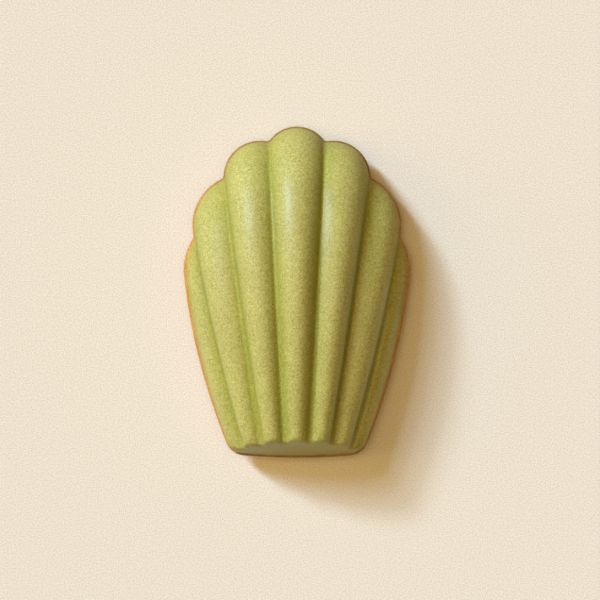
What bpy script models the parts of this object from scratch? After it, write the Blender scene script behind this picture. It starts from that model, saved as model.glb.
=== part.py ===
"""A madeleine: a small shell-shaped sponge cake, lying on its hump with the ribs up.

Frame: metres, +Z up, +Y towards the wide scalloped end, +X across the ribs. The origin
is on the surface that the cake stands on, under the middle of its length and width.
"""

import math

import bmesh
import bpy
from mathutils import Vector

MM = 0.001

# The outline from above. Its wide end has a round lobe for each rib. The notches are
# where two lobes meet, on the +X half, as (across, along).
LENGTH = 75.0 * MM
WIDTH = 51.4 * MM
WIDEST_ALONG = 4.8 * MM
NOTCHES = (
    (6.4 * MM, 34.1 * MM),
    (16.7 * MM, 25.8 * MM),
    (23.4 * MM, 12.4 * MM),
)
LOBE_RISES = (3.2 * MM, 2.7 * MM)    # how far the two lobes between them stand out
NOTCH_RADIUS = 0.9 * MM
NARROW_WIDTH = 30.6 * MM
NARROW_BULGE = 0.7 * MM
CORNER_RADIUS = 2.2 * MM
SIDE_BOW = 1.6 * MM                  # how far the long sides curve outwards

# The shell. Its ribs fan out from an apex beyond the narrow end, and its cross section
# grows in step with the distance from there: seven equal round ribs over an arch. The
# values with no unit are shares of the arch's radius.
RIBS_PER_SIDE = 3
APEX_GAP = 51.0 * MM
ARCH_SPREAD = 0.345                  # the arch's radius for each metre from the apex
RIB_ANGLE = math.radians(18.0)       # how much of the arch one rib takes up
RIB_CREST = 1.059
RIB_RADIUS = 0.130
VALLEY_RADIUS = 0.060
FLANK_DRAFT = math.radians(4.0)      # the outer flanks lean in, to leave the tin
CROWN_RUN = 62.0 * MM                # where the ribs start to round down to the lobes
CROWN_POWER = 1.9                    # 2 rounds them as an ellipse, less is leaner
END_WALL_LEAN = math.radians(18.5)
END_WALL_SOFTNESS = 2.4 * MM

# The browned rim, and the side that rose in the oven, which the cake lies on
RIM_LIP = 0.45 * MM
RIM_THICKNESS = 1.2 * MM
HUMP_DEPTH = 4.4 * MM
HUMP_ALONG = -0.5 * MM               # under the centre of mass
REST_LENGTH = 20.0 * MM
REST_WIDTH = 14.0 * MM

# Faces along each stretch of the mesh
RIB_STEPS = 8
VALLEY_STEPS = 2
FLANK_STEPS = 2
WALL_STEPS = 5
BACK_STEPS = 8
CROWN_STEPS = 16
RIM_STEPS = 4
HUMP_STEPS = 6

HALF_TURN = math.pi
QUARTER_TURN = math.pi / 2
HALF_ARCH = RIB_ANGLE * (RIBS_PER_SIDE + 0.5)
OUTER_LOBE_END = QUARTER_TURN * 0.85  # past this, an outer lobe belongs to the flank
LONGEST_CROWN = 0.6                   # the most of a short rib that its crown takes
WALL_RUN_SHARE = 1.3                  # how far past the wall's top its rows reach

SHELL_BASE = HUMP_DEPTH + RIM_THICKNESS
CREST_SLOPE = ARCH_SPREAD * (RIB_CREST - math.cos(HALF_ARCH))
APEX_ALONG = -LENGTH / 2 - APEX_GAP
NARROW_ALONG = -LENGTH / 2 + RIM_LIP
NARROW_HALF = NARROW_WIDTH / 2 - RIM_LIP


def steps(start, end, count):
    """Evenly spaced values from start to end, both included."""
    return [start + (end - start) * i / count for i in range(count + 1)]


def arc_sag(radius, run):
    """How far an arc has left its tangent after a run along it."""
    return radius - math.sqrt(radius**2 - run**2)


def on_circle(centre, radius, angle):
    """A point on a circle, with the angle turned from up towards +X."""
    return (centre[0] + radius * math.sin(angle), centre[1] + radius * math.cos(angle))


def circle_by_chord(start, end, rise):
    """The circle of an arc that stands out by rise, to the left of its chord."""
    dx, dy = end[0] - start[0], end[1] - start[1]
    chord = math.hypot(dx, dy)
    radius = (chord**2 / 4 + rise**2) / (2 * rise)
    back = (radius - rise) / chord
    middle = ((start[0] + end[0]) / 2, (start[1] + end[1]) / 2)
    return (middle[0] + back * dy, middle[1] - back * dx), radius


def valley_between(left, right, radius):
    """The centre of a circle that rests in the valley between two circles, and the
    angles at which it touches the left one and the right one."""
    (left_x, left_y), left_radius = left
    (right_x, right_y), right_radius = right
    gap = math.hypot(right_x - left_x, right_y - left_y)
    to_left = left_radius + radius
    to_right = right_radius + radius
    along = (to_left**2 - to_right**2 + gap**2) / (2 * gap)
    out = math.sqrt(to_left**2 - along**2)
    unit_x, unit_y = (right_x - left_x) / gap, (right_y - left_y) / gap
    x = left_x + along * unit_x - out * unit_y
    y = left_y + along * unit_y + out * unit_x
    return (x, y), math.atan2(x - left_x, y - left_y), math.atan2(x - right_x, y - right_y)


def row_of_circles(circles, valley_radius, end_angle):
    """Points over a row of circles from left to right, with a round valley between
    each two. The row starts and ends at end_angle on its outer circles."""
    points = []
    start = -end_angle
    for left, right in zip(circles, circles[1:]):
        valley, leave, arrive = valley_between(left, right, valley_radius)
        points += [on_circle(*left, angle) for angle in steps(start, leave, RIB_STEPS)]
        turns = steps(HALF_TURN + leave, HALF_TURN + arrive, VALLEY_STEPS)
        points += [on_circle(valley, valley_radius, angle) for angle in turns[1:-1]]
        start = arrive
    points += [on_circle(*circles[-1], angle) for angle in steps(start, end_angle, RIB_STEPS)]
    return points


def with_mirrored_ends(points, right_end):
    """Points from left to right, with right_end added there and mirrored on the left."""
    return [(-x, y) for x, y in reversed(right_end)] + points + right_end


def rib_section():
    """The cross section one unit from the apex, from rim to rim, as (across, up)."""
    arch_centre = (0.0, -math.cos(HALF_ARCH))
    ribs = range(-RIBS_PER_SIDE, RIBS_PER_SIDE + 1)
    ring = RIB_CREST - RIB_RADIUS
    circles = [(on_circle(arch_centre, ring, rib * RIB_ANGLE), RIB_RADIUS) for rib in ribs]
    points = row_of_circles(circles, VALLEY_RADIUS, QUARTER_TURN - FLANK_DRAFT)
    across, up = points[-1]
    flank = []
    for level in steps(up, 0.0, FLANK_STEPS)[1:]:
        flank.append((across + (up - level) * math.tan(FLANK_DRAFT), level))
    points = with_mirrored_ends(points, flank)
    return [(ARCH_SPREAD * across, ARCH_SPREAD * up) for across, up in points]


def scalloped_edge():
    """The shell's edge round the wide end, a point for each point of rib_section."""
    first, second, third = NOTCHES
    inset = WIDTH / 2 - third[0]
    drop = third[1] - WIDEST_ALONG
    outer_radius = (inset**2 + drop**2) / (2 * inset)
    middle = circle_by_chord((-first[0], first[1]), first, LENGTH / 2 - first[1])
    right = [
        circle_by_chord(first, second, LOBE_RISES[0]),
        circle_by_chord(second, third, LOBE_RISES[1]),
        ((WIDTH / 2 - outer_radius, WIDEST_ALONG), outer_radius),
    ]
    left = [((-x, y), radius) for (x, y), radius in reversed(right)]
    lobes = [(centre, radius - RIM_LIP) for centre, radius in left + [middle] + right]
    points = row_of_circles(lobes, NOTCH_RADIUS + RIM_LIP, OUTER_LOBE_END)
    turns = steps(OUTER_LOBE_END, QUARTER_TURN, FLANK_STEPS)[1:]
    return with_mirrored_ends(points, [on_circle(*lobes[-1], angle) for angle in turns])


def soft_min(first, second, softness):
    """The lesser of two heights, rounded where they cross."""
    overlap = softness - abs(first - second)
    if overlap <= 0.0:
        return min(first, second)
    return min(first, second) - overlap**2 / (4 * softness)


def foot_along(place):
    """Where along the cake a place on the narrow end's foot is, with rounded corners."""
    into_corner = max((abs(place) - 1.0) * NARROW_HALF + CORNER_RADIUS, 0.0)
    corner_rise = arc_sag(CORNER_RADIUS, into_corner * math.sqrt(0.5))
    return NARROW_ALONG + NARROW_BULGE * place**2 + corner_rise


def runs_along(length, wall_run):
    """Distances from the narrow end of the points on a rib line."""
    crown_run = min(CROWN_RUN, LONGEST_CROWN * length)
    runs = steps(0.0, wall_run * WALL_RUN_SHARE, WALL_STEPS)
    runs += steps(runs[-1], length - crown_run, BACK_STEPS)[1:]
    turns = steps(0.0, QUARTER_TURN, CROWN_STEPS)[1:]
    return runs + [length - crown_run * (1.0 - math.sin(turn)) for turn in turns]


def rib_line(place, share, slope, edge):
    """A line of points along the shell, from the narrow end's foot to the edge.

    place is where the line starts on the narrow end's foot and share is where it runs
    among the ribs, both from -1 to 1 across the cake: the line slides from one to the
    other on the end wall. slope is its height for each metre from the apex."""
    foot_y = foot_along(place)
    edge_x, edge_y = edge
    length = edge_y - foot_y
    wall_slope = 1.0 / math.tan(END_WALL_LEAN)
    wall_run = max(slope * (foot_y - APEX_ALONG) / (wall_slope - slope), CORNER_RADIUS)
    softness = END_WALL_SOFTNESS * slope / CREST_SLOPE
    corner_top = NARROW_ALONG + NARROW_BULGE + CORNER_RADIUS

    line = []
    for run in runs_along(length, wall_run):
        y = foot_y + run
        part = run / length
        slide = (place - share) * max(1.0 - run / wall_run, 0.0)**2
        bow = share**3 * SIDE_BOW * 4.0 * part * (1.0 - part)
        into_corner = min(max(corner_top - y, 0.0), CORNER_RADIUS * math.sqrt(0.5))
        tuck = 1.0 - arc_sag(CORNER_RADIUS, into_corner) / NARROW_HALF
        foot = (share + slide) * NARROW_HALF
        x = (foot + (edge_x - foot) * part + bow) * tuck

        to_edge = min((length - run) / CROWN_RUN, 1.0)
        crown = (1.0 - (1.0 - to_edge)**CROWN_POWER)**(1.0 / CROWN_POWER)
        back = slope * (y - APEX_ALONG) * crown
        wall = wall_slope * run
        line.append(Vector((x, y, SHELL_BASE + soft_min(back, wall, softness))))
    return line


def outward(loop):
    """Level unit vectors out of a loop of points that runs anticlockwise."""
    vectors = []
    for i, point in enumerate(loop):
        following = loop[(i + 1) % len(loop)] - loop[i - 1]
        vectors.append(Vector((following.y, -following.x, 0.0)).normalized())
    return vectors


def join_ring(mesh, ring, points):
    """Adds a ring of points below another one and joins the two with faces."""
    below = [mesh.verts.new(point) for point in points]
    for i in range(len(ring)):
        mesh.faces.new((ring[i - 1], below[i - 1], below[i], ring[i]))
    return below


def add_shell(mesh):
    """Adds the ribbed shell and returns its edge, anticlockwise from above."""
    section = rib_section()
    half_section = section[-1][0]
    places = steps(-1.0, 1.0, len(section) - 1)
    grid = []
    for place, (across, slope), edge in zip(places, section, scalloped_edge()):
        line = rib_line(place, across / half_section, slope, edge)
        grid.append([mesh.verts.new(point) for point in line])
    for left, right in zip(grid, grid[1:]):
        for i in range(len(left) - 1):
            mesh.faces.new((left[i], right[i], right[i + 1], left[i + 1]))
    foot = [line[0] for line in grid]
    lobes = [line[-1] for line in grid]
    return foot + grid[-1][1:-1] + lobes[::-1] + grid[0][-2:0:-1]


def add_rim(mesh, edge):
    """Adds the rim, a half-round bead under the shell's edge, and returns its foot."""
    loop = [vertex.co.copy() for vertex in edge]
    directions = outward(loop)
    ring = edge
    for turn in steps(0.0, HALF_TURN, RIM_STEPS)[1:]:
        drop = Vector((0.0, 0.0, RIM_THICKNESS * (1.0 - math.cos(turn)) / 2))
        out = RIM_LIP * math.sin(turn)
        points = [point + way * out - drop for point, way in zip(loop, directions)]
        ring = join_ring(mesh, ring, points)
    return ring


def add_hump(mesh, rim_foot):
    """Adds the hump, from the rim in to the oval flat that the cake lies on."""
    loop = [vertex.co.copy() for vertex in rim_foot]
    ring = rim_foot
    for part in steps(0.0, 1.0, HUMP_STEPS)[1:]:
        height = HUMP_DEPTH * (1.0 - part**2 * (3.0 - 2.0 * part))
        points = []
        for point in loop:
            angle = math.atan2((point.y - HUMP_ALONG) / LENGTH, point.x / WIDTH)
            rest_x = math.cos(angle) * REST_WIDTH / 2
            rest_y = math.sin(angle) * REST_LENGTH / 2 + HUMP_ALONG
            points.append(Vector((
                point.x + (rest_x - point.x) * part,
                point.y + (rest_y - point.y) * part,
                height,
            )))
        ring = join_ring(mesh, ring, points)
    mesh.faces.new(ring[::-1])


def matcha_sponge():
    """Green-tea sponge, baked to a smooth skin that shines softly."""
    material = bpy.data.materials.new("matcha_sponge")
    material.use_nodes = True
    shader = material.node_tree.nodes["Principled BSDF"]
    shader.inputs["Base Color"].default_value = (0.42, 0.38, 0.10, 1.0)
    shader.inputs["Roughness"].default_value = 0.45
    shader.inputs["Metallic"].default_value = 0.0
    return material


def build_madeleine():
    """Makes the whole cake as one closed solid."""
    mesh = bmesh.new()
    add_hump(mesh, add_rim(mesh, add_shell(mesh)))
    data = bpy.data.meshes.new("madeleine")
    mesh.to_mesh(data)
    mesh.free()
    data.shade_smooth()
    data.materials.append(matcha_sponge())
    bpy.context.scene.collection.objects.link(bpy.data.objects.new("madeleine", data))


def main():
    for old in list(bpy.data.objects):
        bpy.data.objects.remove(old, do_unlink=True)
    build_madeleine()


main()
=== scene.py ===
"""Looks of a green tea madeleine: the ribbed sponge, its browned rim and a plain stage.

Everything is in metres, with +Z up and +Y towards the wide scalloped end.
"""

import math

import bmesh
import bpy
from bpy.props import FloatProperty, FloatVectorProperty, IntProperty, PointerProperty
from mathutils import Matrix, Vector


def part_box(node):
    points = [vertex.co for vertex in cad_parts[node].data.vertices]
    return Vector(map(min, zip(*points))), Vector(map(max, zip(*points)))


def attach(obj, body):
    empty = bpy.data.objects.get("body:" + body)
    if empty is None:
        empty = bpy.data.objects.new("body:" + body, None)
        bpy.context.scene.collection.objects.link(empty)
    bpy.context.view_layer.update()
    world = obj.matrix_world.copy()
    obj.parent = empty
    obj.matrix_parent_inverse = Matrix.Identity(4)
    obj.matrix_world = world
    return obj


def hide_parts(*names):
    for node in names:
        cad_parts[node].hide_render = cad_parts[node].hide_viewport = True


bl_info = {
    "name": "Green Tea Madeleine",
    "version": (1, 0, 0),
    "blender": (4, 5, 0),
    "location": "View3D > Sidebar > Madeleine",
    "description": "Shapes and finishes a shell-shaped sponge cake and sets a plain stage",
    "category": "Add Mesh",
}

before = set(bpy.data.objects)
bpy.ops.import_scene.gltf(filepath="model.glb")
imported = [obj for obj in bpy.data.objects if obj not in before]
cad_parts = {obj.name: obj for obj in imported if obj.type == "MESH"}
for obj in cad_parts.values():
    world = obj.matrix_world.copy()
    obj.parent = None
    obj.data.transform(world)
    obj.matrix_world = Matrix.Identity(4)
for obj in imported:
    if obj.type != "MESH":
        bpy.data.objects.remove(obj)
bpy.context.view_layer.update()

BODY = "root"
NODE = "madeleine"
MM = 0.001

NODE_LOW, NODE_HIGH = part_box(NODE)
WIDTH = NODE_HIGH[0] - NODE_LOW[0]
LENGTH = NODE_HIGH[1] - NODE_LOW[1]

HALF_TURN = math.pi
QUARTER_TURN = math.pi / 2

# The outline from above: where two lobes of the wide end meet, on the +X half, as
# (across, along), and how far the two lobes between those notches stand out.
NOTCHES = (
    (6.4 * MM, 34.1 * MM),
    (16.7 * MM, 25.8 * MM),
    (23.4 * MM, 12.4 * MM),
)
LOBE_RISES = (3.2 * MM, 2.7 * MM)
NOTCH_RADIUS = 0.9 * MM
WIDEST_ALONG = 4.8 * MM
OUTER_LOBE_END = QUARTER_TURN * 0.85

# The cross section, as shares of the arch's radius: seven round ribs over an arch
RIBS_PER_SIDE = 3
RIB_ANGLE = math.radians(18.0)
RIB_CREST = 1.059
RIB_RADIUS = 0.130
VALLEY_RADIUS = 0.060
FLANK_DRAFT = math.radians(4.0)
ARCH_SPREAD = 0.345
HALF_ARCH = RIB_ANGLE * (RIBS_PER_SIDE + 0.5)
CREST_RISE = ARCH_SPREAD * (RIB_CREST - math.cos(HALF_ARCH))

MERGE_DISTANCE = 0.001 * MM

# How the rib lines run, as in the solid
LONGEST_CROWN = 0.6                   # the most of a short rib that its crown takes
WALL_RUN_SHARE = 1.3                  # how far past the wall's top its rows reach
CORNER_REACH = math.sqrt(0.5)         # how far in a corner goes, as a share of its radius
BOW_SHARES = 4.0                      # half way along, a part times the rest is a quarter

# The skin's unevenness starts a little above the flat, and goes inwards
RELIEF_START = 0.1 * MM
RELIEF_FULL = 1.5 * MM
INWARDS = -1.0

# Between which values most of a noise lies, and nearly all of it
MOST_NOISE = (0.3, 0.7)
NEARLY_ALL_NOISE = (0.2, 0.8)

# How much red, green and blue light the key and the fill give a level surface
KEY_LIGHT = (0.47, 0.63, 0.875)
FILL_LIGHT = (0.60, 0.44, 0.21)
KEY_AZIMUTH = -48.6
SIDE_AZIMUTH = -85.0

# The lamps: name, degrees from +Y towards +X, degrees up, how many degrees wide each
# looks, and its share of which light
LAMPS = (
    ("key_low", KEY_AZIMUTH, 30.0, 8.0, 0.50, KEY_LIGHT),
    ("key_middle", KEY_AZIMUTH, 38.0, 8.0, 0.28, KEY_LIGHT),
    ("key_high", KEY_AZIMUTH, 46.0, 8.0, 0.22, KEY_LIGHT),
    ("side", SIDE_AZIMUTH, 30.0, 30.0, 0.15, FILL_LIGHT),
    ("side_high", SIDE_AZIMUTH, 66.0, 40.0, 0.20, FILL_LIGHT),
    ("overhead", 0.0, 90.0, 40.0, 0.60, FILL_LIGHT),
)
ALL_ROUND_SHARE = 0.05

# The camera: how wide its view is at the rim, and where the middle of that view is
SENSOR_WIDTH = 36.0
VIEW_WIDTH = 135.6 * MM
VIEW_CENTRE = (0.7 * MM, -1.8 * MM)

# Faces across each stretch of the profile
RIB_STEPS = 20
VALLEY_STEPS = 5
FLANK_STEPS = 6


def linear_colour(code):
    """The linear colour of an sRGB hex code such as "A8A15B"."""
    channels = [int(code[i:i + 2], 16) / 255 for i in (0, 2, 4)]
    linear = [c / 12.92 if c <= 0.04045 else ((c + 0.055) / 1.055)**2.4 for c in channels]
    return (*linear, 1.0)


def add_node(tree, kind, settings=None, inputs=None):
    """Adds a node. settings are its own properties. inputs are its sockets, by name or
    number: each takes a value, or a link from another node's socket."""
    node = tree.nodes.new(kind)
    for name, value in (settings or {}).items():
        setattr(node, name, value)
    for key, value in (inputs or {}).items():
        if isinstance(value, bpy.types.NodeSocket):
            tree.links.new(value, node.inputs[key])
        else:
            node.inputs[key].default_value = value
    return node


def add_steps(tree, kind, values, table):
    """Adds a node for each line of a table of steps, and its result to values by name.
    What a step works on is the name of an earlier value, or a constant."""
    for name, operation, *operands in table:
        inputs = {i: values.get(operand, operand) for i, operand in enumerate(operands)}
        values[name] = add_node(tree, kind, {"operation": operation}, inputs).outputs[0]


# --- The profile that the cake takes from its tin ---------------------------------------

def steps(start, end, count):
    """Evenly spaced values from start to end, both included."""
    return [start + (end - start) * i / count for i in range(count + 1)]


def on_circle(centre, radius, angle):
    """A point on a circle, with the angle turned from up towards +X."""
    return (centre[0] + radius * math.sin(angle), centre[1] + radius * math.cos(angle))


def circle_by_chord(start, end, rise):
    """The circle of an arc that stands out by rise, to the left of its chord."""
    dx, dy = end[0] - start[0], end[1] - start[1]
    chord = math.hypot(dx, dy)
    radius = (chord**2 / 4 + rise**2) / (2 * rise)
    back = (radius - rise) / chord
    middle = ((start[0] + end[0]) / 2, (start[1] + end[1]) / 2)
    return (middle[0] + back * dy, middle[1] - back * dx), radius


def valley_between(left, right, radius):
    """The centre of a circle that rests in the valley between two circles, and the
    angles at which it touches the left one and the right one."""
    (left_x, left_y), left_radius = left
    (right_x, right_y), right_radius = right
    gap = math.hypot(right_x - left_x, right_y - left_y)
    to_left = left_radius + radius
    to_right = right_radius + radius
    along = (to_left**2 - to_right**2 + gap**2) / (2 * gap)
    out = math.sqrt(to_left**2 - along**2)
    unit_x, unit_y = (right_x - left_x) / gap, (right_y - left_y) / gap
    x = left_x + along * unit_x - out * unit_y
    y = left_y + along * unit_y + out * unit_x
    return (x, y), math.atan2(x - left_x, y - left_y), math.atan2(x - right_x, y - right_y)


def row_of_circles(circles, valley_radius, end_angle):
    """Points over a row of circles from left to right, with a round valley between
    each two. The row starts and ends at end_angle on its outer circles."""
    points = []
    start = -end_angle
    for left, right in zip(circles, circles[1:]):
        valley, leave, arrive = valley_between(left, right, valley_radius)
        points += [on_circle(*left, angle) for angle in steps(start, leave, RIB_STEPS)]
        turns = steps(HALF_TURN + leave, HALF_TURN + arrive, VALLEY_STEPS)
        points += [on_circle(valley, valley_radius, angle) for angle in turns[1:-1]]
        start = arrive
    points += [on_circle(*circles[-1], angle) for angle in steps(start, end_angle, RIB_STEPS)]
    return points


def with_mirrored_ends(points, right_end):
    """Points from left to right, with right_end added there and mirrored on the left."""
    return [(-x, y) for x, y in reversed(right_end)] + points + right_end


def rib_section():
    """The cross section one unit from the apex, from rim to rim, as (across, up)."""
    arch_centre = (0.0, -math.cos(HALF_ARCH))
    ribs = range(-RIBS_PER_SIDE, RIBS_PER_SIDE + 1)
    ring = RIB_CREST - RIB_RADIUS
    circles = [(on_circle(arch_centre, ring, rib * RIB_ANGLE), RIB_RADIUS) for rib in ribs]
    points = row_of_circles(circles, VALLEY_RADIUS, QUARTER_TURN - FLANK_DRAFT)
    across, up = points[-1]
    flank = []
    for level in steps(up, 0.0, FLANK_STEPS)[1:]:
        flank.append((across + (up - level) * math.tan(FLANK_DRAFT), level))
    points = with_mirrored_ends(points, flank)
    return [(ARCH_SPREAD * across, ARCH_SPREAD * up) for across, up in points]


def scalloped_edge(rim_lip):
    """The shell's edge round the wide end, a point for each point of rib_section."""
    first, second, third = NOTCHES
    inset = WIDTH / 2 - third[0]
    drop = third[1] - WIDEST_ALONG
    outer_radius = (inset**2 + drop**2) / (2 * inset)
    middle = circle_by_chord((-first[0], first[1]), first, LENGTH / 2 - first[1])
    right = [
        circle_by_chord(first, second, LOBE_RISES[0]),
        circle_by_chord(second, third, LOBE_RISES[1]),
        ((WIDTH / 2 - outer_radius, WIDEST_ALONG), outer_radius),
    ]
    left = [((-x, y), radius) for (x, y), radius in reversed(right)]
    lobes = [(centre, radius - rim_lip) for centre, radius in left + [middle] + right]
    points = row_of_circles(lobes, NOTCH_RADIUS + rim_lip, OUTER_LOBE_END)
    turns = steps(OUTER_LOBE_END, QUARTER_TURN, FLANK_STEPS)[1:]
    return with_mirrored_ends(points, [on_circle(*lobes[-1], angle) for angle in turns])


# --- Node trees of the cake's shape -----------------------------------------------------

# Each line of these tables is a value's name, its operation and what it works on. First
# the rows of the shell's grid, end wall, back and crown, and of the skirt's, rim and hump.
ROW_COUNT_STEPS = (
    ("back_end", "ADD", "Wall Rows", "Back Rows"),
    ("crown_end", "ADD", "back_end", "Crown Rows"),
    ("rows", "ADD", "crown_end", 1.0),
    ("hump_end", "ADD", "Rim Rows", "Hump Rows"),
    ("skirt_rows", "ADD", "hump_end", 1.0),
)
ROW_STEPS = (
    ("column", "DIVIDE_FLOOR", "index", "rows"),
    ("row", "MODULO", "index", "rows"),
    ("turn_column", "DIVIDE_FLOOR", "index", "skirt_rows"),
    ("skirt_row", "MODULO", "index", "skirt_rows"),
)

# How far a row has come over its stretch: a value's name, which row, where the stretch
# starts and ends, what the value is at the end, and how it gets there
ROW_RAMPS = (
    ("wall_share", "row", 0.0, "Wall Rows", 1.0, "LINEAR"),
    ("back_share", "row", "Wall Rows", "back_end", 1.0, "LINEAR"),
    ("crown_turn", "row", "back_end", "crown_end", QUARTER_TURN, "LINEAR"),
    ("rim_turn", "skirt_row", 0.0, "Rim Rows", HALF_TURN, "LINEAR"),
    ("hump_part", "skirt_row", "Rim Rows", "hump_end", 1.0, "LINEAR"),
    ("hump_fall", "skirt_row", "Rim Rows", "hump_end", 1.0, "SMOOTHSTEP"),
)

# The rib lines: how far a point has run from the narrow end, where that puts it across
# the cake, and how high
RUN_STEPS = (
    ("length", "SUBTRACT", "edge_along", "foot"),
    ("lean_tangent", "TANGENT", "End Wall Lean"),
    ("wall_slope", "DIVIDE", 1.0, "lean_tangent"),
    ("foot_reach", "SUBTRACT", "foot", "Apex Along"),
    ("foot_height", "MULTIPLY", "rise", "foot_reach"),
    ("slope_gap", "SUBTRACT", "wall_slope", "rise"),
    ("wall_top", "DIVIDE", "foot_height", "slope_gap"),
    ("wall_run", "MAXIMUM", "wall_top", "Corner Radius"),
    ("wall_length", "MULTIPLY", "wall_run", WALL_RUN_SHARE),
    ("crown_most", "MULTIPLY", "length", LONGEST_CROWN),
    ("crown_length", "MINIMUM", "crown_most", "Crown Run"),
    ("past_wall", "SUBTRACT", "length", "wall_length"),
    ("back_length", "SUBTRACT", "past_wall", "crown_length"),
    ("crown_share", "SINE", "crown_turn"),
    ("run_on_wall", "MULTIPLY", "wall_share", "wall_length"),
    ("run_on_back", "MULTIPLY_ADD", "back_share", "back_length", "run_on_wall"),
    ("run", "MULTIPLY_ADD", "crown_share", "crown_length", "run_on_back"),
    ("along", "ADD", "foot", "run"),
    ("part", "DIVIDE", "run", "length"),
)
ACROSS_STEPS = (
    # Up the end wall a line slides from its even place at the foot to its own rib
    ("wall_part", "DIVIDE", "run", "wall_run"),
    ("wall_left", "SUBTRACT", 1.0, "wall_part"),
    ("wall_lag", "MAXIMUM", "wall_left", 0.0),
    ("slide_share", "MULTIPLY", "wall_lag", "wall_lag"),
    ("place_gap", "SUBTRACT", "place", "share"),
    ("foot_share", "MULTIPLY_ADD", "place_gap", "slide_share", "share"),
    ("foot_across", "MULTIPLY", "foot_share", "Narrow Half Width"),
    ("spread", "SUBTRACT", "edge_across", "foot_across"),
    ("straight", "MULTIPLY_ADD", "spread", "part", "foot_across"),
    # The long sides bow out, and lines further in hardly do
    ("part_left", "SUBTRACT", 1.0, "part"),
    ("bow_share", "MULTIPLY", "part", "part_left"),
    ("share_cubed", "POWER", "share", 3.0),
    ("bow_most", "MULTIPLY", "share_cubed", "Side Bow"),
    ("bow_quarter", "MULTIPLY", "bow_share", "bow_most"),
    ("bowed", "MULTIPLY_ADD", "bow_quarter", BOW_SHARES, "straight"),
    # The narrow end's corners are round
    ("below_corner", "SUBTRACT", "Corner Top", "along"),
    ("corner_some", "MAXIMUM", "below_corner", 0.0),
    ("corner_most", "MULTIPLY", "Corner Radius", CORNER_REACH),
    ("corner_run", "MINIMUM", "corner_some", "corner_most"),
    ("run_squared", "MULTIPLY", "corner_run", "corner_run"),
    ("radius_squared", "MULTIPLY", "Corner Radius", "Corner Radius"),
    ("chord_squared", "SUBTRACT", "radius_squared", "run_squared"),
    ("chord", "SQRT", "chord_squared"),
    ("sag", "SUBTRACT", "Corner Radius", "chord"),
    ("sag_share", "DIVIDE", "sag", "Narrow Half Width"),
    ("tuck", "SUBTRACT", 1.0, "sag_share"),
    ("across", "MULTIPLY", "bowed", "tuck"),
)
HEIGHT_STEPS = (
    # A rib rises from the apex, and its crown rounds down to the edge
    ("run_left", "SUBTRACT", "length", "run"),
    ("run_inside", "SUBTRACT", "run_left", MERGE_DISTANCE),
    ("crown_part", "DIVIDE", "run_inside", "Crown Run"),
    ("crown_some", "MAXIMUM", "crown_part", 0.0),
    ("to_edge", "MINIMUM", "crown_some", 1.0),
    ("from_crest", "SUBTRACT", 1.0, "to_edge"),
    ("fall", "POWER", "from_crest", "Crown Power"),
    ("stand", "SUBTRACT", 1.0, "fall"),
    ("crown_root", "DIVIDE", 1.0, "Crown Power"),
    ("crown", "POWER", "stand", "crown_root"),
    ("reach", "SUBTRACT", "along", "Apex Along"),
    ("ridge", "MULTIPLY", "rise", "reach"),
    ("back", "MULTIPLY", "ridge", "crown"),
    # The end wall cuts it off, with a soft turn that is tighter where it is lower
    ("wall", "MULTIPLY", "wall_slope", "run"),
    ("rise_share", "DIVIDE", "rise", "Crest Rise"),
    ("softness", "MULTIPLY", "rise_share", "End Wall Softness"),
    ("shell_height", "SMOOTH_MIN", "back", "wall", "softness"),
    ("shell_base", "ADD", "Hump Depth", "Rim Thickness"),
    ("height", "ADD", "shell_base", "shell_height"),
)

# How far the rim's bead stands out, and how high the skirt is
SKIRT_STEPS = (
    ("lip_share", "SINE", "rim_turn"),
    ("lip", "MULTIPLY", "lip_share", "Rim Lip"),
    ("rim_cosine", "COSINE", "rim_turn"),
    ("rim_share", "MULTIPLY_ADD", "rim_cosine", 0.5, 0.5),
    ("rim_height", "MULTIPLY_ADD", "rim_share", "Rim Thickness", "Hump Depth"),
    ("hump_drop", "MULTIPLY", "hump_fall", "Hump Depth"),
    ("skirt_height", "SUBTRACT", "rim_height", "hump_drop"),
)

# Vectors: the way out from the shell's edge, and the point of the oval flat that the
# hump's line from there comes down to
REST_STEPS = (
    ("side", "CROSS_PRODUCT", "heading", (0.0, 0.0, 1.0)),
    ("side_way", "NORMALIZE", "side"),
    ("from_centre", "SUBTRACT", "start", "Hump Centre"),
    ("squared_off", "DIVIDE", "from_centre", "Outline Size"),
    ("flattened", "MULTIPLY", "squared_off", (1.0, 1.0, 0.0)),
    ("round_way", "NORMALIZE", "flattened"),
    ("rest_offset", "MULTIPLY", "round_way", "Rest Half Size"),
    ("rest_point", "ADD", "Hump Centre", "rest_offset"),
)


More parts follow.
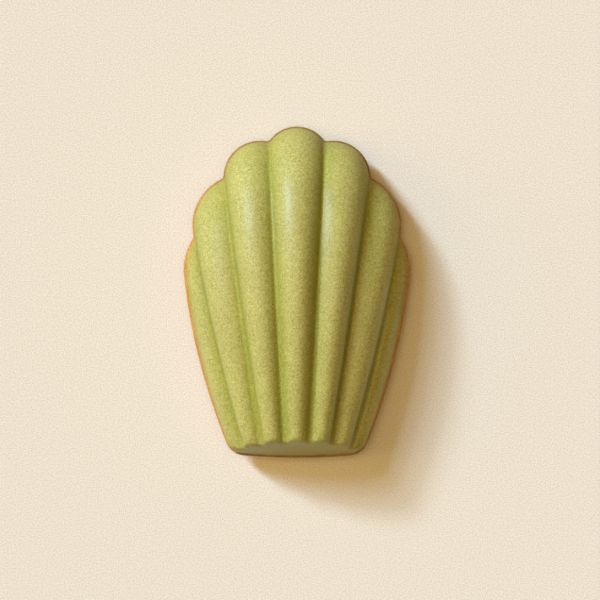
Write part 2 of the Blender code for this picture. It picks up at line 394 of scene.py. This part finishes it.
def shape_inputs(shape, material):
    """The inputs of the cake's node tree: name, socket kind, subtype and value."""
    narrow_along = -LENGTH / 2 + shape.rim_lip
    return (
        ("Wall Rows", "NodeSocketInt", "NONE", shape.wall_rows),
        ("Back Rows", "NodeSocketInt", "NONE", shape.back_rows),
        ("Crown Rows", "NodeSocketInt", "NONE", shape.crown_rows),
        ("Rim Rows", "NodeSocketInt", "NONE", shape.rim_rows),
        ("Hump Rows", "NodeSocketInt", "NONE", shape.hump_rows),
        ("Apex Along", "NodeSocketFloat", "DISTANCE", -LENGTH / 2 - shape.apex_gap),
        ("Crest Rise", "NodeSocketFloat", "NONE", CREST_RISE),
        ("Narrow Half Width", "NodeSocketFloat", "DISTANCE",
         shape.narrow_width / 2 - shape.rim_lip),
        ("Corner Radius", "NodeSocketFloat", "DISTANCE", shape.corner_radius),
        ("Corner Top", "NodeSocketFloat", "DISTANCE",
         narrow_along + shape.narrow_bulge + shape.corner_radius),
        ("Side Bow", "NodeSocketFloat", "DISTANCE", shape.side_bow),
        ("Crown Run", "NodeSocketFloat", "DISTANCE", shape.crown_run),
        ("Crown Power", "NodeSocketFloat", "NONE", shape.crown_power),
        ("End Wall Lean", "NodeSocketFloat", "ANGLE", shape.end_wall_lean),
        ("End Wall Softness", "NodeSocketFloat", "DISTANCE", shape.end_wall_softness),
        ("Rim Lip", "NodeSocketFloat", "DISTANCE", shape.rim_lip),
        ("Rim Thickness", "NodeSocketFloat", "DISTANCE", shape.rim_thickness),
        ("Hump Depth", "NodeSocketFloat", "DISTANCE", shape.hump_depth),
        ("Hump Centre", "NodeSocketVector", "TRANSLATION", (0.0, shape.hump_along, 0.0)),
        ("Outline Size", "NodeSocketVector", "TRANSLATION", (WIDTH, LENGTH, 1.0)),
        ("Rest Half Size", "NodeSocketVector", "TRANSLATION",
         (shape.rest_width / 2, shape.rest_length / 2, 0.0)),
        ("Relief Height", "NodeSocketFloat", "DISTANCE", shape.relief_height),
        ("Relief Spacing", "NodeSocketFloat", "DISTANCE", shape.relief_spacing),
        ("Sponge", "NodeSocketMaterial", "NONE", material),
    )


def cake_tree(shape, material):
    """The node tree that raises the ribbed shell over the profile's points and closes it
    below with the rim and the hump. Returns it and its sockets' names and values."""
    tree = bpy.data.node_groups.new("raise_madeleine", "GeometryNodeTree")
    tree.is_modifier = True
    tree.interface.new_socket("Profile", in_out="INPUT", socket_type="NodeSocketGeometry")
    sizes = {}
    for name, kind, subtype, value in shape_inputs(shape, material):
        socket = tree.interface.new_socket(name, in_out="INPUT", socket_type=kind)
        if subtype != "NONE":
            socket.subtype = subtype
        sizes[socket.identifier] = value
    tree.interface.new_socket("Cake", in_out="OUTPUT", socket_type="NodeSocketGeometry")
    given = tree.nodes.new("NodeGroupInput").outputs
    values = {name: given[name] for name in given.keys() if name}
    values["index"] = add_node(tree, "GeometryNodeInputIndex").outputs[0]
    position = add_node(tree, "GeometryNodeInputPosition").outputs[0]
    tangent = add_node(tree, "GeometryNodeInputTangent").outputs[0]
    add_steps(tree, "ShaderNodeMath", values, ROW_COUNT_STEPS)
    add_steps(tree, "FunctionNodeIntegerMath", values, ROW_STEPS)
    for name, row, start, end, top, interpolation in ROW_RAMPS:
        values[name] = add_node(
            tree, "ShaderNodeMapRange", {"interpolation_type": interpolation},
            {"Value": values[row], "From Min": values.get(start, start),
             "From Max": values[end], "To Max": top}).outputs["Result"]

    # The shell's grid: a column for each point of the profile, from foot to edge
    columns = add_node(tree, "GeometryNodeAttributeDomainSize", {"component": "MESH"},
                       {"Geometry": given["Profile"]}).outputs["Point Count"]
    shell = add_node(tree, "GeometryNodeMeshGrid", {}, {
        "Vertices X": columns, "Vertices Y": values["rows"]}).outputs["Mesh"]
    for name in ("share", "place", "rise", "foot", "crest"):
        field = add_node(tree, "GeometryNodeInputNamedAttribute",
                         {"data_type": "FLOAT"}, {"Name": name}).outputs["Attribute"]
        values[name] = add_node(tree, "GeometryNodeSampleIndex", {"data_type": "FLOAT"}, {
            "Geometry": given["Profile"], "Value": field, "Index": values["column"],
        }).outputs["Value"]
    edge = add_node(tree, "GeometryNodeSampleIndex", {"data_type": "FLOAT_VECTOR"}, {
        "Geometry": given["Profile"], "Value": position, "Index": values["column"],
    }).outputs["Value"]
    edge_parts = add_node(tree, "ShaderNodeSeparateXYZ", {}, {0: edge}).outputs
    values["edge_across"], values["edge_along"] = edge_parts["X"], edge_parts["Y"]
    add_steps(tree, "ShaderNodeMath", values, RUN_STEPS + ACROSS_STEPS + HEIGHT_STEPS)
    raised = add_node(tree, "ShaderNodeCombineXYZ", {}, {
        "X": values["across"], "Y": values["along"], "Z": values["height"],
    }).outputs[0]
    for name in ("crest", "run_left"):
        shell = add_node(tree, "GeometryNodeStoreNamedAttribute", {"data_type": "FLOAT"}, {
            "Geometry": shell, "Name": name, "Value": values[name]}).outputs[0]
    shell = add_node(tree, "GeometryNodeSetPosition", {},
                     {"Geometry": shell, "Position": raised}).outputs[0]

    # The skirt's grid: a column for each point of the shell's edge, and one more that
    # closes it, going down round the rim's bead and in over the hump
    loop, edge_columns = add_open_loop(tree, shell)
    skirt_columns = add_node(tree, "ShaderNodeMath", {"operation": "ADD"},
                             {0: edge_columns, 1: 1.0}).outputs[0]
    skirt = add_node(tree, "GeometryNodeMeshGrid", {}, {
        "Vertices X": skirt_columns, "Vertices Y": values["skirt_rows"]}).outputs["Mesh"]
    skirt_column = add_node(tree, "FunctionNodeIntegerMath", {"operation": "MODULO"},
                            {0: values["turn_column"], 1: edge_columns}).outputs[0]
    for name, field in (("start", position), ("heading", tangent)):
        values[name] = add_node(
            tree, "GeometryNodeSampleIndex", {"data_type": "FLOAT_VECTOR"},
            {"Geometry": loop, "Value": field, "Index": skirt_column}).outputs["Value"]
    add_steps(tree, "ShaderNodeMath", values, SKIRT_STEPS)
    add_steps(tree, "ShaderNodeVectorMath", values, REST_STEPS)
    facing = add_node(tree, "ShaderNodeVectorMath", {"operation": "DOT_PRODUCT"}, {
        0: values["side_way"], 1: values["start"]}).outputs["Value"]
    outwards = add_node(tree, "ShaderNodeMath", {"operation": "SIGN"},
                        {0: facing}).outputs[0]
    lip = values["side_way"]
    for factor in (values["lip"], outwards):
        lip = add_node(tree, "ShaderNodeVectorMath", {"operation": "SCALE"},
                       {0: lip, "Scale": factor}).outputs[0]
    on_lip = add_node(tree, "ShaderNodeVectorMath", {"operation": "ADD"}, {
        0: values["start"], 1: lip}).outputs[0]
    drawn_in = add_node(tree, "ShaderNodeMix", {"data_type": "VECTOR"}, {
        "Factor": values["hump_part"], 4: on_lip, 5: values["rest_point"]}).outputs[1]
    drawn_parts = add_node(tree, "ShaderNodeSeparateXYZ", {}, {0: drawn_in}).outputs
    lowered = add_node(tree, "ShaderNodeCombineXYZ", {}, {
        "X": drawn_parts["X"], "Y": drawn_parts["Y"], "Z": values["skirt_height"],
    }).outputs[0]
    skirt = add_node(tree, "GeometryNodeSetPosition", {},
                     {"Geometry": skirt, "Position": lowered}).outputs[0]

    closed = add_closed(tree, (shell, skirt))
    rest_loop = add_open_loop(tree, closed)[0]
    flat = add_node(tree, "GeometryNodeFillCurve", {"mode": "NGONS"},
                    {"Curve": rest_loop}).outputs["Mesh"]
    closed = add_closed(tree, (closed, flat))
    relief = add_relief(tree, closed, given["Relief Height"], given["Relief Spacing"])
    real = add_node(tree, "GeometryNodeRealizeInstances", {}, {"Geometry": relief}).outputs[0]
    dressed = add_node(tree, "GeometryNodeSetMaterial", {}, {
        "Geometry": real, "Material": given["Sponge"]}).outputs[0]
    add_node(tree, "NodeGroupOutput", {}, {"Cake": dressed})
    return tree, sizes


def add_open_loop(tree, mesh):
    """Adds nodes that take a mesh's open edge as a curve, and count its points."""
    faces = add_node(tree, "GeometryNodeInputMeshEdgeNeighbors").outputs["Face Count"]
    is_open = add_node(tree, "FunctionNodeCompare",
                       {"data_type": "INT", "operation": "EQUAL"},
                       {"A": faces, "B": 1}).outputs["Result"]
    loop = add_node(tree, "GeometryNodeMeshToCurve", {},
                    {"Mesh": mesh, "Selection": is_open}).outputs["Curve"]
    count = add_node(tree, "GeometryNodeAttributeDomainSize", {"component": "CURVE"},
                     {"Geometry": loop}).outputs["Point Count"]
    return loop, count


def add_closed(tree, meshes):
    """Adds nodes that join meshes and merge the points that they share."""
    joined = tree.nodes.new("GeometryNodeJoinGeometry")
    for mesh in meshes:
        tree.links.new(mesh, joined.inputs[0])
    return add_node(tree, "GeometryNodeMergeByDistance", {}, {
        "Geometry": joined.outputs[0], "Distance": MERGE_DISTANCE}).outputs[0]


def add_relief(tree, mesh, height, spacing):
    """Adds nodes that sink the surface a little, unevenly, as a baked sponge has it, but
    leave the flat that the cake rests on."""
    position = add_node(tree, "GeometryNodeInputPosition").outputs[0]
    scale = add_node(tree, "ShaderNodeMath", {"operation": "DIVIDE"},
                     {0: 1.0, 1: spacing}).outputs[0]
    uneven = add_node(tree, "ShaderNodeTexNoise", {}, {
        "Vector": position, "Scale": scale, "Detail": 2.0, "Roughness": 0.5,
    }).outputs[0]
    level = add_node(tree, "ShaderNodeSeparateXYZ", {}, {0: position}).outputs["Z"]
    above_flat = add_node(tree, "ShaderNodeMapRange", {}, {
        "Value": level, "From Min": RELIEF_START, "From Max": RELIEF_FULL,
    }).outputs["Result"]
    offset = add_node(tree, "GeometryNodeInputNormal").outputs[0]
    for factor in (height, uneven, above_flat, INWARDS):
        offset = add_node(tree, "ShaderNodeVectorMath", {"operation": "SCALE"},
                          {0: offset, "Scale": factor}).outputs[0]
    return add_node(tree, "GeometryNodeSetPosition", {},
                    {"Geometry": mesh, "Offset": offset}).outputs[0]


# --- Materials --------------------------------------------------------------------------

def sponge_skin(finish, shape):
    """Green tea sponge, baked against a buttered tin: a smooth skin with fine crumb under
    it, paler along the crests and darker in the grooves, where the darker green is painted
    shade. The butter gives it a soft waxy shine, which the crumb breaks into specks and
    which fades where the lobes' ends bake dry. It browns to gold where the batter ends in
    the rim, and on the hump."""
    material = bpy.data.materials.new("baked_matcha_sponge")
    material.use_nodes = True
    tree = material.node_tree
    shader = tree.nodes["Principled BSDF"]
    coords = add_node(tree, "ShaderNodeTexCoord").outputs["Object"]
    place = add_node(tree, "ShaderNodeSeparateXYZ", {}, {0: coords}).outputs
    values = {"along": place["Y"], "level": place["Z"]}
    for name in ("crest", "run_left"):
        values[name] = add_node(tree, "ShaderNodeAttribute",
                                {"attribute_name": name}).outputs["Fac"]

    # The real crumb is about 0.1 mm fine, and is drawn coarser so that it shows
    for name, spacing, detail in (
        ("tone", finish.tone_size, 2.0),
        ("crumb", finish.crumb_size, 1.0),
        ("grain", finish.grain_size, 0.0),
        ("wobble", finish.wander_size, 2.0),
    ):
        values[name] = add_node(tree, "ShaderNodeTexNoise", {}, {
            "Vector": coords, "Scale": 1.0 / spacing, "Detail": detail,
        }).outputs[0]
    speck = add_node(tree, "ShaderNodeMix", {"data_type": "FLOAT"}, {
        0: finish.grain_share, 2: values["crumb"], 3: values["grain"]}).outputs[0]
    values["speck"] = speck
    # How far from the rim the browning reaches wanders a little
    values["wander"] = add_node(tree, "ShaderNodeMapRange", {}, {
        "Value": values["wobble"], "To Min": -finish.browning_wander,
        "To Max": finish.browning_wander}).outputs["Result"]
    add_steps(tree, "ShaderNodeMath", values, (
        ("inside", "ADD", "run_left", "wander"),
        ("height", "ADD", "level", "wander"),
    ))

    # Each line is a value's name, what it follows, over which stretch, and what it is
    # where that stretch starts and ends
    narrow_end = -LENGTH / 2
    rim_top = shape.hump_depth + shape.rim_thickness
    contrast, blotch = finish.tone_contrast, finish.rim_blotch
    rough, spread = finish.roughness, finish.roughness_spread
    straight = (
        ("patch", "tone", NEARLY_ALL_NOISE, (1.0 - contrast, 1.0 + contrast)),
        ("blotch", "wobble", MOST_NOISE, (-blotch, blotch)),
        ("baked", "speck", MOST_NOISE, (rough - spread, rough + spread)),
    )
    smooth = (
        ("evened", "along",
         (narrow_end + finish.even_end, narrow_end + 2.0 * finish.even_end), (1.0, 0.0)),
        ("toast", "inside", (0.0, finish.tint_reach), (finish.tint_strength, 0.0)),
        ("crusted", "height", (rim_top, rim_top + finish.crust_height), (1.0, 0.0)),
        ("golden", "along", (finish.gold_end, LENGTH / 2), (1.0, 0.0)),
        ("darkened", "along", (narrow_end, narrow_end + finish.dark_end), (-1.0, 0.0)),
        ("under", "height", (0.0, shape.hump_depth), (1.0, 0.0)),
        ("butter", "run_left", (finish.dry_start, finish.dry_end), (0.0, finish.butter_shine)),
        ("dryness", "run_left",
         (finish.dry_start, finish.dry_end), (finish.dry_roughness, 0.0)),
    )
    for interpolation, ranges in (("LINEAR", straight), ("SMOOTHSTEP", smooth)):
        for name, followed, (start, end), (first, last) in ranges:
            values[name] = add_node(
                tree, "ShaderNodeMapRange", {"interpolation_type": interpolation},
                {"Value": values[followed], "From Min": start, "From Max": end,
                 "To Min": first, "To Max": last}).outputs["Result"]
    add_steps(tree, "ShaderNodeMath", values, (
        ("patchy", "ADD", "golden", "blotch"),
        ("crust_tone", "ADD", "patchy", "darkened"),
        ("roughness", "ADD", "baked", "dryness"),
    ))

    # The crest share paints shade into the grooves, and the end wall is one even tone
    values["paleness"] = add_node(tree, "ShaderNodeMix", {"data_type": "FLOAT"}, {
        0: values["evened"], 2: values["crest"], 3: finish.even_tone}).outputs[0]
    for name in ("groove_painted_shade", "sponge_crest", "toasted", "crust_dark", "crust_gold",
                 "hump"):
        values[name] = tuple(getattr(finish, name))
    # Each line is a colour's name, how far it has changed, and what it changes from and to
    # The green runs from the groove colour, which is painted shade, to the crest colour
    for name, change, before, after in (
        ("green", "paleness", "groove_painted_shade", "sponge_crest"),
        ("tinted", "toast", "green", "toasted"),
        ("crust", "crust_tone", "crust_dark", "crust_gold"),
        ("rimmed", "crusted", "tinted", "crust"),
        ("domed", "under", "rimmed", "hump"),
    ):
        values[name] = add_node(tree, "ShaderNodeMix", {"data_type": "RGBA"}, {
            0: values[change], 6: values[before], 7: values[after]}).outputs[2]
    # A speck differs more in blue, so that the light ones are paler too
    even = Vector((1.0, 1.0, 1.0))
    swing = Vector((1.0, 1.0, finish.speck_paleness)) * finish.speck_contrast
    mottle = add_node(tree, "ShaderNodeMapRange", {"data_type": "FLOAT_VECTOR"}, {
        "Vector": speck, 7: even * NEARLY_ALL_NOISE[0], 8: even * NEARLY_ALL_NOISE[1],
        9: even - swing, 10: even + swing}).outputs["Vector"]
    depth = add_node(tree, "ShaderNodeVectorMath", {"operation": "SCALE"},
                     {0: mottle, "Scale": values["patch"]}).outputs[0]
    colour = add_node(tree, "ShaderNodeVectorMath", {"operation": "MULTIPLY"},
                      {0: values["domed"], 1: depth}).outputs[0]

    bump = add_node(tree, "ShaderNodeBump", {}, {
        "Strength": finish.crumb_bump, "Distance": finish.crumb_depth,
        "Height": speck}).outputs["Normal"]
    for name, result in (
        ("Base Color", colour),
        ("Roughness", values["roughness"]),
        ("Coat Weight", values["butter"]),
        ("Normal", bump),
        ("Coat Normal", bump),
    ):
        tree.links.new(result, shader.inputs[name])
    shader.inputs["Specular IOR Level"].default_value = finish.shine
    shader.inputs["Coat Roughness"].default_value = finish.butter_roughness
    return material


def backdrop_paper(stage):
    """Uncoated cream paper, pressed from short fibres: dull, with a faint fine grain."""
    material = bpy.data.materials.new("uncoated_cream_paper")
    material.use_nodes = True
    tree = material.node_tree
    shader = tree.nodes["Principled BSDF"]
    coords = add_node(tree, "ShaderNodeTexCoord").outputs["Object"]
    # Real fibres are about 0.02 mm thick, and are drawn coarser so that they show
    fibre = add_node(tree, "ShaderNodeTexNoise", {}, {
        "Vector": coords, "Scale": 1.0 / stage.fibre_size, "Detail": 2.0}).outputs[0]
    tone = add_node(tree, "ShaderNodeMapRange", {}, {
        "Value": fibre, "From Min": MOST_NOISE[0], "From Max": MOST_NOISE[1],
    }).outputs["Result"]
    colour = add_node(tree, "ShaderNodeMix", {"data_type": "RGBA"}, {
        0: tone, 6: tuple(stage.paper_dark), 7: tuple(stage.paper_light)}).outputs[2]
    tree.links.new(colour, shader.inputs["Base Color"])
    shader.inputs["Roughness"].default_value = stage.paper_roughness
    shader.inputs["Specular IOR Level"].default_value = stage.paper_shine
    return material


# --- Add-on -----------------------------------------------------------------------------

def colour_property(name, description, code):
    """A colour that a user can change, which starts from an sRGB hex code."""
    return FloatVectorProperty(name=name, description=description, subtype="COLOR", size=4,
                               min=0.0, max=1.0, default=linear_colour(code))


def length_property(name, description, size, least=0.0):
    """A length that a user can change. Its size and its least size are in millimetres."""
    return FloatProperty(name=name, description=description, unit="LENGTH",
                         min=least * MM, default=size * MM)


def share_property(name, description, share):
    """A share that a user can change, from none to all."""
    return FloatProperty(name=name, description=description, subtype="FACTOR",
                         min=0.0, max=1.0, default=share)


class MadeleineShape(bpy.types.PropertyGroup):
    """Sizes of the cake."""

    apex_gap: length_property(
        "Apex Gap", "How far beyond the narrow end the ribs would meet", 51.0)
    narrow_width: length_property("Narrow Width", "Width of the narrow end", 30.6)
    narrow_bulge: length_property(
        "Narrow Bulge", "How far the narrow end curves outwards", 0.7)
    corner_radius: length_property("Corner Radius", "Radius of the narrow end's corners", 2.2)
    side_bow: length_property("Side Bow", "How far the long sides curve outwards", 1.6)
    crown_run: length_property(
        "Crown Run", "Length over which the ribs round down to the lobes", 62.0)
    crown_power: FloatProperty(
        name="Crown Power", description="2 rounds the ribs as an ellipse, less is leaner",
        default=1.9, min=1.0)
    end_wall_lean: FloatProperty(
        name="End Wall Lean", description="How far the narrow end's wall leans in",
        default=math.radians(18.5), min=0.0, unit="ROTATION", subtype="ANGLE")
    end_wall_softness: length_property(
        "End Wall Softness", "How softly the ribs turn into the end wall", 3.2)
    rim_lip: length_property("Rim Lip", "How far the browned rim stands out", 0.45)
    rim_thickness: length_property("Rim Thickness", "Height of the browned rim", 1.2)
    hump_depth: length_property("Hump Depth", "How deep the hump under the rim is", 4.4)
    hump_along: FloatProperty(
        name="Hump Along", description="Where along the cake its resting flat is",
        default=-0.5 * MM, unit="LENGTH")
    rest_length: length_property("Rest Length", "Length of the resting flat", 20.0)
    rest_width: length_property("Rest Width", "Width of the resting flat", 14.0)
    relief_height: length_property("Relief Height", "How deep the skin's unevenness is", 0.08)
    relief_spacing: length_property(
        "Relief Spacing", "How far apart the skin's uneven spots are", 3.0, least=0.1)
    wall_rows: IntProperty(name="Wall Rows", description="Rows up the end wall",
                           default=20, min=1)
    back_rows: IntProperty(name="Back Rows", description="Rows along the straight ribs",
                           default=70, min=1)
    crown_rows: IntProperty(name="Crown Rows", description="Rows round the ribs' ends",
                            default=120, min=1)
    rim_rows: IntProperty(name="Rim Rows", description="Rows round the rim's bead",
                          default=8, min=2)
    hump_rows: IntProperty(name="Hump Rows", description="Rows over the hump",
                           default=24, min=1)


class MadeleineFinish(bpy.types.PropertyGroup):
    """Colours and surface of the cake."""

    sponge_crest: colour_property("Sponge Crest", "Green along the ribs' crests", "B3AA58")
    # The groove colour is the crest's green darkened as painted shade in the grooves
    groove_painted_shade: colour_property("Sponge Groove", "Green down in the grooves", "979434")
    toasted: colour_property("Toasted", "Tint of the skin towards the lobes' ends", "A8943F")
    crust_gold: colour_property("Crust Gold", "Colour of the rim along the sides", "C68B33")
    crust_dark: colour_property("Crust Dark", "Colour of the rim at both ends", "937021")
    hump: colour_property("Hump", "Colour of the hump", "A8924C")
    even_end: length_property(
        "Even End", "How far in from the narrow end the tone is even", 3.2)
    even_tone: share_property(
        "Even Tone", "Where the end wall's tone lies from groove to crest", 0.5)
    tint_reach: length_property(
        "Tint Reach", "How far in from the lobes' ends the skin is toasted", 6.0)
    tint_strength: share_property(
        "Tint Strength", "How toasted the skin is at the lobes' ends", 0.35)
    crust_height: length_property(
        "Crust Height", "How high above the rim the crust reaches", 1.4)
    dark_end: length_property(
        "Dark End", "How far in from the narrow end the rim is dark", 2.5)
    gold_end: FloatProperty(
        name="Gold End", description="Where the rim starts to darken to the wide end",
        default=8.0 * MM, unit="LENGTH")
    rim_blotch: share_property("Rim Blotches", "How unevenly the rim browns", 0.3)
    browning_wander: length_property(
        "Browning Wander", "How far the browning's edge wanders", 0.6)
    wander_size: length_property(
        "Wander Size", "Size of the browning's wanderings", 2.5, least=0.01)
    tone_size: length_property(
        "Tone Size", "Size of the paler and darker patches", 6.0, least=0.01)
    tone_contrast: share_property("Tone Contrast", "How much the patches differ", 0.06)
    crumb_size: length_property(
        "Crumb Size", "Size of the crumb's coarser specks", 0.55, least=0.01)
    grain_size: length_property(
        "Grain Size", "Size of the crumb's finer specks", 0.25, least=0.01)
    grain_share: share_property("Grain Share", "How much of the crumb is fine", 0.6)
    speck_contrast: share_property("Speck Contrast", "How much the specks differ", 0.44)
    speck_paleness: FloatProperty(
        name="Speck Paleness", description="How much more the specks differ in blue",
        default=2.4, min=0.0)
    crumb_depth: length_property("Crumb Depth", "Depth of the crumb's relief", 0.06)
    crumb_bump: share_property("Crumb Strength", "How strongly the crumb's relief shows", 0.8)
    roughness: share_property("Roughness", "Roughness of the baked skin", 0.58)
    roughness_spread: share_property(
        "Roughness Spread", "How much the crumb changes the roughness", 0.1)
    shine: share_property("Shine", "Strength of the skin's reflection", 0.45)
    butter_shine: share_property(
        "Butter Shine", "How much the butter on the skin shines", 0.34)
    butter_roughness: share_property(
        "Butter Roughness", "Roughness of the butter", 0.34)
    dry_start: length_property(
        "Dry Start", "How far in from the lobes' ends the skin is dry", 5.0)
    dry_end: length_property(
        "Dry End", "How far in from the lobes' ends the butter shows in full", 21.0)
    dry_roughness: share_property("Dry Roughness", "How much rougher the dry skin is", 0.2)


class MadeleineStage(bpy.types.PropertyGroup):
    """Floor, lights and camera."""

    paper_light: colour_property("Paper Light", "Paler tone of the backdrop", "F5ECDD")
    paper_dark: colour_property("Paper Dark", "Darker tone of the backdrop", "D7C8AB")
    fibre_size: length_property("Fibre Size", "Size of the paper's grain", 0.28, least=0.01)
    paper_roughness: share_property("Paper Roughness", "Roughness of the paper", 0.9)
    paper_shine: share_property("Paper Shine", "Strength of the paper's reflection", 0.1)
    floor_size: FloatProperty(
        name="Floor Size", description="Width of the backdrop",
        default=12.0, min=0.0, unit="LENGTH")
    light_strength: FloatProperty(
        name="Light Strength", description="Strength of all the light",
        default=1.0, min=0.0)
    camera_height: FloatProperty(
        name="Camera Height", description="Height of the camera above the rim",
        default=0.55, min=0.0, unit="LENGTH")


class MADELEINE_OT_cake(bpy.types.Operator):
    """Shape the madeleine from its profile and give it its baked skin"""

    bl_idname = "madeleine.cake"
    bl_label = "Bake Cake"

    def execute(self, context):
        shape = context.scene.madeleine_shape
        skin = sponge_skin(context.scene.madeleine_finish, shape)
        tree, sizes = cake_tree(shape, skin)
        cake = bpy.data.objects.new("madeleine_cake", profile_mesh(shape))
        context.scene.collection.objects.link(cake)
        bake_nodes(context, cake, tree, sizes)
        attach(cake, BODY)
        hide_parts(NODE)
        return {"FINISHED"}


class MADELEINE_OT_stage(bpy.types.Operator):
    """Set the floor, the lights and the camera"""

    bl_idname = "madeleine.stage"
    bl_label = "Set Stage"

    def execute(self, context):
        stage = context.scene.madeleine_stage
        add_floor(context, stage)
        add_lights(context, stage)
        add_camera(context, stage)
        context.scene.view_settings.view_transform = "Standard"
        return {"FINISHED"}


class MADELEINE_PT_sidebar(bpy.types.Panel):
    """Lists the madeleine's sizes, finishes and steps"""

    bl_label = "Madeleine"
    bl_idname = "MADELEINE_PT_sidebar"
    bl_space_type = "VIEW_3D"
    bl_region_type = "UI"
    bl_category = "Madeleine"

    def draw(self, context):
        for group, operator in (
            (context.scene.madeleine_shape, None),
            (context.scene.madeleine_finish, MADELEINE_OT_cake),
            (context.scene.madeleine_stage, MADELEINE_OT_stage),
        ):
            box = self.layout.box()
            for name in group.bl_rna.properties.keys():
                if name not in ("rna_type", "name"):
                    box.prop(group, name)
            if operator:
                box.operator(operator.bl_idname)


def profile_mesh(shape):
    """The points of the shell's edge, each with its place in the cross section."""
    section = rib_section()
    half_section = section[-1][0]
    edge = scalloped_edge(shape.rim_lip)
    places = steps(-1.0, 1.0, len(section) - 1)
    mesh = bpy.data.meshes.new("madeleine_profile")
    mesh.from_pydata([(x, y, 0.0) for x, y in edge], [], [])
    for name, values in (
        ("place", places),
        ("share", [across / half_section for across, _ in section]),
        ("rise", [up for _, up in section]),
        ("foot", [foot_along(shape, place) for place in places]),
        # The skin uses the crest share to paint shade into the grooves
        ("crest", crest_shares(section)),
    ):
        attribute = mesh.attributes.new(name, "FLOAT", "POINT")
        attribute.data.foreach_set("value", values)
    return mesh


def crest_shares(section):
    """How near each point of the cross section is to the top of its rib: 0 is the bottom
    of a groove and 1 is a rib's crest. The flanks count as they leave their rib."""
    centre = -ARCH_SPREAD * math.cos(HALF_ARCH)
    reaches = [math.hypot(across, up - centre) for across, up in section]
    middle = len(reaches) // 2
    lowest = min(reaches[RIB_STEPS:-RIB_STEPS])
    return [min(max((reach - lowest) / (reaches[middle] - lowest), 0.0), 1.0)
            for reach in reaches]


def foot_along(shape, place):
    """Where along the cake a place on the narrow end's foot is, with rounded corners."""
    half_width = shape.narrow_width / 2 - shape.rim_lip
    radius = shape.corner_radius
    into_corner = max((abs(place) - 1.0) * half_width + radius, 0.0) * CORNER_REACH
    corner_rise = radius - math.sqrt(radius**2 - into_corner**2)
    return -LENGTH / 2 + shape.rim_lip + shape.narrow_bulge * place**2 + corner_rise


def bake_nodes(context, piece, tree, sizes):
    """Runs a node tree on a piece, and leaves its result as a plain closed mesh."""
    modifier = piece.modifiers.new("shape", "NODES")
    modifier.node_group = tree
    for identifier, value in sizes.items():
        modifier[identifier] = value
    graph = context.evaluated_depsgraph_get()
    mesh = bpy.data.meshes.new_from_object(piece.evaluated_get(graph), depsgraph=graph)
    piece.modifiers.remove(modifier)
    shell = bmesh.new()
    shell.from_mesh(mesh)
    bmesh.ops.recalc_face_normals(shell, faces=shell.faces)
    open_edges = sum(not edge.is_manifold for edge in shell.edges)
    shell.to_mesh(mesh)
    shell.free()
    if not mesh.polygons or open_edges:
        raise RuntimeError(f"{piece.name} didn't come out as one closed shape")
    mesh.shade_smooth()
    mesh.name = piece.name
    piece.data = mesh


def add_floor(context, stage):
    """Adds the backdrop under the cake."""
    half = stage.floor_size / 2
    mesh = bpy.data.meshes.new("backdrop")
    corners = [(-half, -half, 0.0), (half, -half, 0.0), (half, half, 0.0), (-half, half, 0.0)]
    mesh.from_pydata(corners, [], [(0, 1, 2, 3)])
    mesh.materials.append(backdrop_paper(stage))
    floor = bpy.data.objects.new("backdrop", mesh)
    context.scene.collection.objects.link(floor)


def add_lights(context, stage):
    """Adds the key, a tall soft light in parts on the left of the wide end, a warmer fill
    beside and above the cake, and a faint one from all round."""
    for name, azimuth, elevation, spread, share, level in LAMPS:
        azimuth, elevation = math.radians(azimuth), math.radians(elevation)
        light = bpy.data.lights.new(name, "SUN")
        light.angle = math.radians(spread)
        light.color = [part / max(level) for part in level]
        reach = stage.light_strength * share * max(level)
        light.energy = math.pi * reach / math.sin(elevation)
        lamp = bpy.data.objects.new(name, light)
        toward = Vector((math.sin(azimuth) * math.cos(elevation),
                         math.cos(azimuth) * math.cos(elevation),
                         math.sin(elevation)))
        lamp.rotation_euler = toward.to_track_quat("Z", "Y").to_euler()
        context.scene.collection.objects.link(lamp)
    world = bpy.data.worlds.new("studio_fill")
    world.use_nodes = True
    sky = world.node_tree.nodes["Background"]
    sky.inputs["Color"].default_value = (*FILL_LIGHT, 1.0)
    sky.inputs["Strength"].default_value = stage.light_strength * ALL_ROUND_SHARE
    context.scene.world = world


def add_camera(context, stage):
    """Adds the camera, which looks straight down."""
    camera = bpy.data.cameras.new("camera")
    camera.sensor_width = SENSOR_WIDTH
    camera.lens = SENSOR_WIDTH * stage.camera_height / VIEW_WIDTH
    viewer = bpy.data.objects.new("camera", camera)
    shape = context.scene.madeleine_shape
    rim_top = shape.hump_depth + shape.rim_thickness
    viewer.location = (*VIEW_CENTRE, rim_top + stage.camera_height)
    context.scene.collection.objects.link(viewer)
    context.scene.camera = viewer


CLASSES = (MadeleineShape, MadeleineFinish, MadeleineStage, MADELEINE_OT_cake,
           MADELEINE_OT_stage, MADELEINE_PT_sidebar)
GROUPS = (("madeleine_shape", MadeleineShape), ("madeleine_finish", MadeleineFinish),
          ("madeleine_stage", MadeleineStage))


def register():
    for kind in CLASSES:
        bpy.utils.register_class(kind)
    for name, group in GROUPS:
        setattr(bpy.types.Scene, name, PointerProperty(type=group))


def unregister():
    for name, _ in GROUPS:
        delattr(bpy.types.Scene, name)
    for kind in reversed(CLASSES):
        bpy.utils.unregister_class(kind)


def main():
    """Makes the cake and its stage."""
    register()
    bpy.ops.madeleine.cake()
    bpy.ops.madeleine.stage()


if __name__ == "__main__":
    main()
